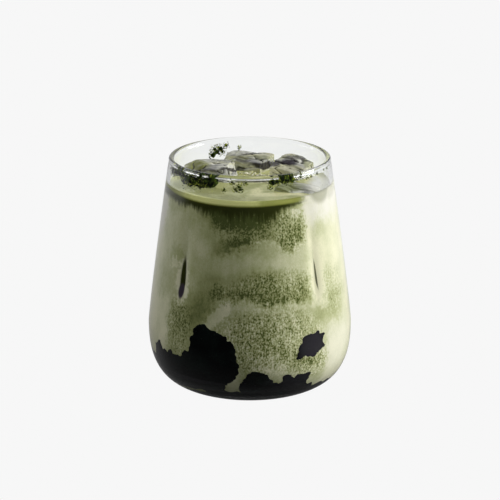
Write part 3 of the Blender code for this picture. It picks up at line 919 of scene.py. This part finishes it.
# The drips of paste under the surface and the line where it meets the glass, olive with a painted glow of
# light through the meniscus, by azimuth, and the ice that shows over that line at the right.
DRIP_LEVEL = 88.2
DRIP_REACH = {
    -180: 4, -140: 7, -100: 3, -80: 2.6, -66: 2.6, -50: 3.2, -44: 2.4, -33: 4.5, -22: 3.5, -12: 5.5, -2: 5,
    6: 6.5, 13: 7.5, 19: 3, 28: 1.4, 36: 0.5, 42: 0.05, 80: 0.2, 120: 5, 155: 8,
}
LINE_OLIVE = (0.27, 0.295, 0.06)
MENISCUS_GLOW_TINT = (0.88, 0.90, 0.36)
LINE_REACH = {
    -180: 1, -100: 0.8, -60: 0.9, -30: 1, 22: 1, 30: 0.85, 36: 0.7, 40: 0.3, 45: 0, 96: 0, 115: 0.8,
}
LINE_FOOT = {
    -180: 87.8, -90: 88.2, -76: 88.7, -60: 88.3, -44: 87.8, -20: 87.5, 6: 87.6, 20: 87.9,
}
MENISCUS_GLOW_SHARE = {
    -180: 0.8, -100: 0.5, -74: 0.0, -60: 0.2, -46: 0.8, -30: 1, -8: 0.9, 4: 0.7, 14: 0.15, 40: 0.1, 90: 0.2,
    130: 0.7,
}
ICE_LOBE = ((((57, 91.2, 11, 5.6, 0.9), (72, 90.6, 13, 5.0, 0.4)), 0.25, (0.36, 0.36, 0.26)),)


def milk_wall_material():
    material, tree, surface, wall_azimuth, wall_height, place = drink_material("green_milk")
    broad = add(tree, "SeparateColor", {0: grain(tree, place, 0.09, 3, "Color")}).outputs
    fine = add(tree, "SeparateColor", {0: grain(tree, place, 0.6, 3, "Color")}).outputs
    speckle = grain(tree, stretched(tree, place, 1, 1, 0.75), 1.5, 4)
    streak = grain(tree, stretched(tree, place, 1, 1, 0.09), 1.1, 2)
    smoke = grain(tree, stretched(tree, place, 1, 1, 0.6), 0.16, 5)

    def off_centre(value):
        return calc(tree, "SUBTRACT", value, 0.5)

    def drifted(value, channel, broad_reach, fine_reach):
        moved = calc(tree, "MULTIPLY_ADD", off_centre(broad[channel]), broad_reach, value)
        return calc(tree, "MULTIPLY_ADD", off_centre(fine[channel]), fine_reach, moved)

    azimuth = drifted(wall_azimuth, 0, 9, 8)
    height = drifted(wall_height, 1, 7, 6)
    ragged_height = calc(tree, "MULTIPLY_ADD", off_centre(streak), STREAK_REACH, height)

    def over(foot, softness, measured=height):
        return fade(tree, calc(tree, "SUBTRACT", measured, foot), -softness, softness)

    def around(points, most=1.0):
        return round_the_glass(tree, azimuth, points, most)

    mugwort = around(EVERYWHERE)
    upper = times(tree, over(around(UPPER_FOOT, WALL_TOP), 1.4), around(UPPER_LAYER))
    below_head = calc(tree, "SUBTRACT", 1, over(around(MIDDLE_HEAD, WALL_TOP), 3.0))
    over_foot = over(around(MIDDLE_FOOT, WALL_TOP), 1.6, ragged_height)
    middle = times(tree, times(tree, over_foot, around(MIDDLE_LAYER)), below_head)
    lower = times(tree, fade(tree, ragged_height, *LOWER_HEAD), around(LOWER_LAYER))
    clouds = (patches(tree, azimuth, height, 0.55, SOFT_CLOUDS, "ADD"),
              patches(tree, azimuth, height, 0.2, CRISP_CLOUDS, "ADD"),
              times(tree, off_centre(smoke), 0.5))
    for layer in (upper, middle, lower, *clouds):
        mugwort = calc(tree, "ADD", mugwort, layer)

    granular = patches(tree, azimuth, height, 0.4, GRANULAR)
    grains = times(tree, off_centre(speckle), 2.8)
    grains = calc(tree, "MULTIPLY_ADD", off_centre(streak), 1.1, grains)
    mugwort = calc(tree, "MULTIPLY_ADD", grains, calc(tree, "MAXIMUM", granular, 0.1), mugwort)

    ramp = add(tree, "ValToRGB", {"Fac": mugwort})
    stops = ramp.color_ramp.elements
    stops[0].color = (*TINTS[0][1], 1)
    stops[1].color = (*TINTS[-1][1], 1)
    for spot, tint in TINTS[1:-1]:
        stops.new(spot).color = (*tint, 1)
    whiter = patches(tree, azimuth, height, 0.5, WHITER)
    whiter = times(tree, whiter, fade(tree, mugwort, 0.4, 0.1))
    colour = mix(tree, whiter, ramp.outputs["Color"], WHITE_MILK)
    # Painted dark reflections: the slits that show in two of the dents, laid over the milk.
    colour = with_stains_and_painted_light(tree, colour, wall_azimuth, wall_height, PAINTED_DENT_SLITS)

    below_line = calc(tree, "SUBTRACT", DRIP_LEVEL, wall_height)
    reach = times(tree, around(DRIP_REACH, 10), times(tree, streak, 2.0))
    hanging = fade(tree, calc(tree, "DIVIDE", below_line, calc(tree, "ADD", reach, 0.3)), 1.3, 0.35)
    colour = mix(tree, times(tree, hanging, around(LINE_REACH)), colour, PASTE_AND_DARK_REFLECTION)
    over_line = calc(tree, "SUBTRACT", wall_height, around(LINE_FOOT, WALL_TOP))
    # A painted glow of light along the line, where light passes through the meniscus.
    pale = times(tree, fade(tree, over_line, 0.3, 1.5), around(MENISCUS_GLOW_SHARE))
    line = mix(tree, pale, LINE_OLIVE, MENISCUS_GLOW_TINT)
    at_line = times(tree, fade(tree, over_line, 0, 0.9), around(LINE_REACH))
    colour = mix(tree, at_line, colour, line)
    colour = with_stains_and_painted_light(tree, colour, wall_azimuth, wall_height, ICE_LOBE)
    coat(tree, surface, colour, 0.7, 1.1)
    return material


# Stains and painted light on the surface of the milk, by the distance across the glass and the distance back.
SWIRL_CREAM = (
    (12, -21, 12, 3.2, 0.9, 0.5), (4, -16, 3.0, 5, 0.8), (0, 1, 9, 2.4, 0.7), (26, 4, 2, 9, 0.6),
)
SURFACE_SHADE = (
    (-28, 2, 7, 18, 0.8), (16, -11, 7, 6, 0.5),
)
# A painted pool of light on the right of the surface, where the lamp falls.
SURFACE_PAINTED_LIGHT = ((31, -4, 5, 16, 1.0),)
SURFACE_STAINS_AND_LIGHT = (
    (SWIRL_CREAM, 0.4, (0.88, 0.85, 0.46)),
    (SURFACE_SHADE, 0.5, (0.25, 0.27, 0.10)),
    (SURFACE_PAINTED_LIGHT, 0.5, (0.95, 0.94, 0.86)),
)
SURFACE_TINTS = ((0.40, 0.415, 0.14), (0.56, 0.57, 0.24))
SURFACE_DUST = (0.10, 0.13, 0.02)
SURFACE_RIM = (30.2, 31.8)


def milk_surface_material():
    material, tree, surface, azimuth, _, place = drink_material("milk_surface")
    drifted = drifting(tree, place, 0.11, 9.0)
    x, y, _ = add(tree, "SeparateXYZ", {0: drifted}).outputs
    swirl = fade(tree, grain(tree, drifted, 0.13, 2), 0.45, 0.6)
    colour = with_stains_and_painted_light(tree, mix(tree, swirl, *SURFACE_TINTS), x, y, SURFACE_STAINS_AND_LIGHT)
    off_axis = add(tree, "VectorMath", {0: stretched(tree, place, 1, 1, 0)}, operation="LENGTH")
    # The same painted glow of light round the rim of the surface.
    rim = fade(tree, off_axis.outputs["Value"], *SURFACE_RIM)
    rim = times(tree, rim, round_the_glass(tree, azimuth, MENISCUS_GLOW_SHARE, 1.0))
    colour = mix(tree, rim, colour, MENISCUS_GLOW_TINT)
    dust = fade(tree, grain(tree, place, 1.4, 2), 0.66, 0.72)
    colour = mix(tree, dust, colour, SURFACE_DUST)
    bubbles = bumps(tree, grain(tree, place, 1.0, 2), 0.2, 0.3)
    coat(tree, surface, colour, 0.25, 1.35, Normal=bubbles)
    return material


milk_stations = [("floor", share) for share in (0, 0.5, 1)]
milk_foot = FLOOR_HEIGHT - MILK_SINK
for step in range(1, MILK_CORNER_RINGS + 1):
    share = (step / MILK_CORNER_RINGS) ** CORNER_CROWDING
    milk_stations.append(("side", milk_foot + (BELLY_HEIGHT - milk_foot) * share))
for step in range(1, MILK_RINGS):
    milk_stations.append(("side", BELLY_HEIGHT + (MILK_LEVEL - BELLY_HEIGHT) * step / (MILK_RINGS - 1)))
milk_stations += [("top", 1 - MENISCUS_STEP * step) for step in range(MENISCUS_RINGS)]
milk_stations += [("top", SURFACE_START * (1 - step / SURFACE_RINGS)) for step in range(SURFACE_RINGS + 1)]
milk_mesh = turned_mesh("milk", milk_stations, MILK_COLUMNS, milk_point)
milk_mesh = cut_pockets("milk", milk_mesh, [shrunk(mesh, POCKET_SHRINK) for mesh in pocket_meshes])
milk_mesh.materials.clear()
milk = new_piece("milk", milk_mesh, milk_wall_material(), milk_surface_material())
for face in milk_mesh.polygons:
    edge = inside_radius(azimuth_of(face.center), face.center.z)
    open_face = face.center.z > MILK_LEVEL - MENISCUS and math.hypot(face.center.x, face.center.y) < edge
    face.material_index = 1 if open_face else 0
milk_mesh.shade_smooth()
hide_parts("mugwort_milk")


# ---- The powder ----
# Mugwort powder, dusted on last: it sticks in damp dark crusts to the inside of the glass under the lip, with
# drier yellow-green grains strewn round them and a few on the milk. The crusts are dented clots run together.

# A crust is its number of clots, its two ends and their size. A spot is its azimuth, height and size.
POWDER_CRUSTS = (
    (8, (-75, 97.6), (-46, 97.2), 1.9),
    (6, (-52, 96.0), (-29, 96.8), 2.6),
    (5, (16, 97.8), (31, 98.5), 1.6),
    (3, (-151, 93.8), (-157, 96.0), 1.0),
)
POWDER_SPOTS = (
    (-18.3, 94.6, 1.0), (-12.7, 98.0, 1.4), (-7.6, 96.3, 2.0), (-6.8, 95.0, 1.3), (-2.7, 98.0, 1.0),
    (-10.5, 95.0, 1.2), (14.3, 96.1, 1.2), (38.8, 98.6, 1.1), (45, 97.6, 0.7), (49.1, 97.9, 0.7),
    (56, 98.2, 0.6), (66, 98.4, 0.5), (72.1, 98.2, 0.7), (-149.6, 93.5, 1.4), (-151.8, 96.2, 2.2),
    (-158.6, 94.8, 2.2), (-161.6, 97.5, 1.5), (-155.1, 96.9, 1.6), (-172, 96, 1.0),
)
POWDER_SEED = 7
POWDER_SINK = 0.2
POWDER_FLATNESS = 0.72
POWDER_ROUGHNESS = 0.5
POWDER_SCATTER = 0.7
POWDER_SIZES = (0.75, 1.1)
CLOT_DETAIL = 3
CLOT_DENTS = ((1.6, 1.0), (0.6, 0.6))
CRUST_GRAINS_DROP = 0.25
CRUST_GRAINS_REACH = 1.35
GRAINS_PER_CLOT = 44
SPOT_CLOTS = ((0, 0, 0.3), (1.2, -0.5, 0.2))
SPOT_GRAINS_REACH = 1.3
GRAINS_PER_SPOT = 34
GRAIN_SIZES = (0.12, 0.34)
GRAIN_SQUEEZE = (0.6, 1.2)
GRAIN_CROWDING = 0.7
GRAIN_THINNING = (1.25, 0.6)
GRAIN_SINK = (0.2, 0.9)
HIGHEST_GRAIN = 100.2
DAMP_TINTS = ((0.004, 0.007, 0.002), (0.045, 0.075, 0.008))
DRY_TINTS = ((0.08, 0.11, 0.012), (0.42, 0.47, 0.07))


def clot(draw, azimuth, height, radius):
    """The points and faces of one clot of damp powder, flattened on the wall."""
    outward = at(azimuth, 1, 0)
    off_axis = inside_radius(azimuth, height * MM) + (POWDER_SINK - radius * POWDER_FLATNESS) * MM
    middle = at(azimuth, off_axis, height * MM)
    shift = any_place(draw)

    def reshape(point):
        dent = sum(depth * noise.noise(point / MM / size + shift) for size, depth in CLOT_DENTS)
        corner = point * (1 + POWDER_ROUGHNESS * dent)
        return middle + corner - outward * (corner.dot(outward) * (1 - POWDER_FLATNESS))

    return reshaped_ball(radius * MM, CLOT_DETAIL, reshape)


def powder_grain(draw, middle, radius):
    """The points and faces of one grain, squeezed and turned at random."""
    turned = any_turn(draw)
    squeeze = Vector(draw.uniform(*GRAIN_SQUEEZE) for _ in range(3))

    def reshape(point):
        corner = point * squeeze
        corner.rotate(turned)
        return middle + corner

    return reshaped_ball(radius, 1, reshape)


def wall_grains(draw, azimuth, height, spread, count):
    """Grains strewn on the inside of the glass round one spot, thinner towards the rim of the spot."""
    grains = []
    for _ in range(count):
        reach = spread * draw.random() ** GRAIN_CROWDING
        turn = draw.uniform(0, math.tau)
        radius = draw.uniform(*GRAIN_SIZES) * MM * (GRAIN_THINNING[0] - GRAIN_THINNING[1] * reach / spread)
        up = min(height + reach * math.sin(turn), HIGHEST_GRAIN)
        round_by = math.degrees(reach * math.cos(turn) * MM / MOUTH_RADIUS)
        off_wall = inside_radius(azimuth + round_by, up * MM) - radius * draw.uniform(*GRAIN_SINK)
        grains.append(powder_grain(draw, at(azimuth + round_by, off_wall, up * MM), radius))
    return grains


def powder_material(name, tints):
    material, tree, surface, *_, place = drink_material(name)
    damp = fade(tree, grain(tree, place, 0.7, 4), 0.44, 0.62)
    colour = mix(tree, damp, *tints)
    rough = bumps(tree, grain(tree, place, 4.0, 2), 0.7, 0.15)
    coat(tree, surface, colour, 0.85, 1.2, Normal=rough)
    return material


draw = random.Random(POWDER_SEED)
clots, grains = [], []
for count, first, last, size in POWDER_CRUSTS:
    for index in range(count):
        share = index / (count - 1)
        azimuth = first[0] + (last[0] - first[0]) * share
        height = first[1] + (last[1] - first[1]) * share + draw.uniform(-1, 1) * POWDER_SCATTER
        clots.append(clot(draw, azimuth, height, size * draw.uniform(*POWDER_SIZES)))
        middle = height - CRUST_GRAINS_DROP * size
        grains += wall_grains(draw, azimuth, middle, size * CRUST_GRAINS_REACH, GRAINS_PER_CLOT)
for azimuth, height, spread in POWDER_SPOTS:
    for aside, up, share in SPOT_CLOTS:
        clots.append(clot(draw, azimuth + aside * spread, height + up * spread, share * spread))
    grains += wall_grains(draw, azimuth, height, SPOT_GRAINS_REACH * spread, round(GRAINS_PER_SPOT * spread))
damp_powder = powder_material("damp_powder", DAMP_TINTS)
dry_powder = powder_material("dry_powder", DRY_TINTS)
crust = new_piece("powder_crusts", joined_mesh("powder_crusts", clots), damp_powder)
new_piece("powder_grains", joined_mesh("powder_grains", grains), dry_powder)
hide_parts("glass_tumbler")


# ---- Table and light ----
# A pale table and a soft lamp high on the right, with a weak even light from all round.

TABLE_SIZE = 6.0
STAGE_BRIGHTNESS = 0.93
MIRRORED_BACK = 0.75
MIRRORED_LEFT = 0.7
SKY_LIGHT = 0.16
LAMP_DISTANCE = 1.2
LAMP_SIZE = 0.7
LAMPS = (("key_lamp", 90, 25, 15), ("fill_lamp", -95, 30, 4))


def stage_brightness(tree, x, y, left, back, front_brightness, soft):
    """One brightness for what is seen, one for soft light and one for reflections, which are dim in front,
    bright at the back and a little dimmer on the left."""
    mirrored = calc(tree, "MULTIPLY_ADD", fade(tree, y, *back), MIRRORED_BACK, front_brightness)
    aside = calc(tree, "MULTIPLY_ADD", fade(tree, x, *left), 1 - MIRRORED_LEFT, MIRRORED_LEFT)
    mirrored = times(tree, mirrored, aside)
    path = add(tree, "LightPath", {}).outputs
    reflected = calc(tree, "MINIMUM", path["Glossy Depth"], 1)
    value = add(tree, "Mix", {0: reflected, 2: STAGE_BRIGHTNESS, 3: mirrored}).outputs[0]
    return add(tree, "Mix", {0: path["Is Diffuse Ray"], 2: value, 3: soft}).outputs[0]


def table():
    builder = bmesh.new()
    bmesh.ops.create_grid(builder, x_segments=8, y_segments=8, size=TABLE_SIZE / 2)
    material, tree, surface = new_material("pale_table")
    x, y, _ = add(tree, "SeparateXYZ", {0: add(tree, "TexCoord", {}).outputs["Object"]}).outputs
    soft = calc(tree, "MULTIPLY_ADD", fade(tree, x, 0.01, 0.06), 1.1, 0.08)
    brightness = stage_brightness(tree, x, y, (-0.15, 0.0), (-0.1, 0.25), 0.02, soft)
    glow = add(tree, "Emission", {"Color": (1, 1, 1), "Strength": brightness}).outputs[0]
    tree.links.new(glow, surface)
    floor = new_object("pale_table", finished_mesh("pale_table", builder))
    floor.data.materials.append(material)


def sky():
    world = bpy.data.worlds.new("soft_light")
    world.use_nodes = True
    tree = world.node_tree
    x, y, _ = add(tree, "SeparateXYZ", {0: add(tree, "TexCoord", {}).outputs["Generated"]}).outputs
    brightness = stage_brightness(tree, x, y, (-0.6, 0.0), (-0.2, 0.6), 0.03, SKY_LIGHT)
    tree.nodes["Background"].inputs["Color"].default_value = (1, 1, 1, 1)
    tree.links.new(brightness, tree.nodes["Background"].inputs["Strength"])
    bpy.context.scene.world = world


def soft_lamp(name, azimuth, elevation, power):
    """A square lamp that looks at the drink's middle."""
    lamp = bpy.data.lights.new(name, "AREA")
    lamp.size = LAMP_SIZE
    lamp.energy = power
    turn, lift = math.radians(azimuth), math.radians(elevation)
    middle = Vector((0, 0, GLASS_HEIGHT / 2))
    away = Vector((math.sin(turn) * math.cos(lift), -math.cos(turn) * math.cos(lift), math.sin(lift)))
    hung = new_object(name, lamp)
    hung.location = middle + away * LAMP_DISTANCE
    hung.rotation_euler = away.to_track_quat("Z", "Y").to_euler()
    hung.visible_glossy = False


def camera():
    lens = bpy.data.cameras.new("camera")
    lens.lens = 130.4
    lens.shift_x = 0.0004
    lens.shift_y = 0.0334
    eye = new_object("camera", lens)
    elevation, distance, aim = math.radians(18.1), 0.8, 50.35 * MM
    eye.location = at(0, distance * math.cos(elevation), aim + distance * math.sin(elevation))
    eye.rotation_euler = (math.pi / 2 - elevation, 0, 0)
    bpy.context.scene.camera = eye


table()
sky()
for lamp_values in LAMPS:
    soft_lamp(*lamp_values)
camera()
bpy.context.scene.view_settings.view_transform = "Standard"
